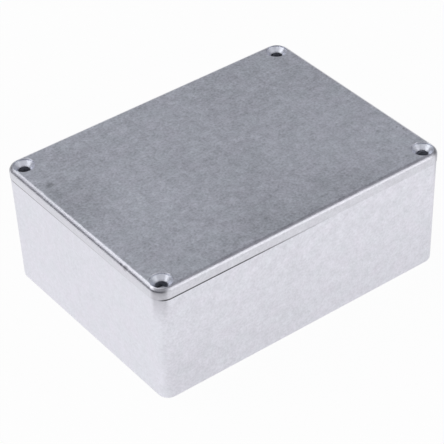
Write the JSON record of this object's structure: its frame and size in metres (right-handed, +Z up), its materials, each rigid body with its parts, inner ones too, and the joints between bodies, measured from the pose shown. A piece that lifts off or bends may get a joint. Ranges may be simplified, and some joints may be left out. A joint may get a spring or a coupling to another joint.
{
  "type": "die cast aluminium box",
  "caption": "Rectangular die cast aluminium enclosure: a drafted hollow base with corner screw posts and a flat lid with countersunk corner holes and a locating lip.",
  "frame": {"origin": "the middle of the base's underside, which is the face that the box stands on", "axes": "+X along the long sides, +Y along the short sides, +Z up, out through the lid"},
  "size_m": [0.111, 0.083, 0.044],
  "materials": {
    "base_casting": "tumbled bare die casting, pale and satin with a fine grain",
    "lid_casting": "tumbled bare die casting, satin grey with a fine mottled grain"
  },
  "bodies": {
    "root": {"base": "base_casting", "lid": "lid_casting"}
  },
  "joints": []
}
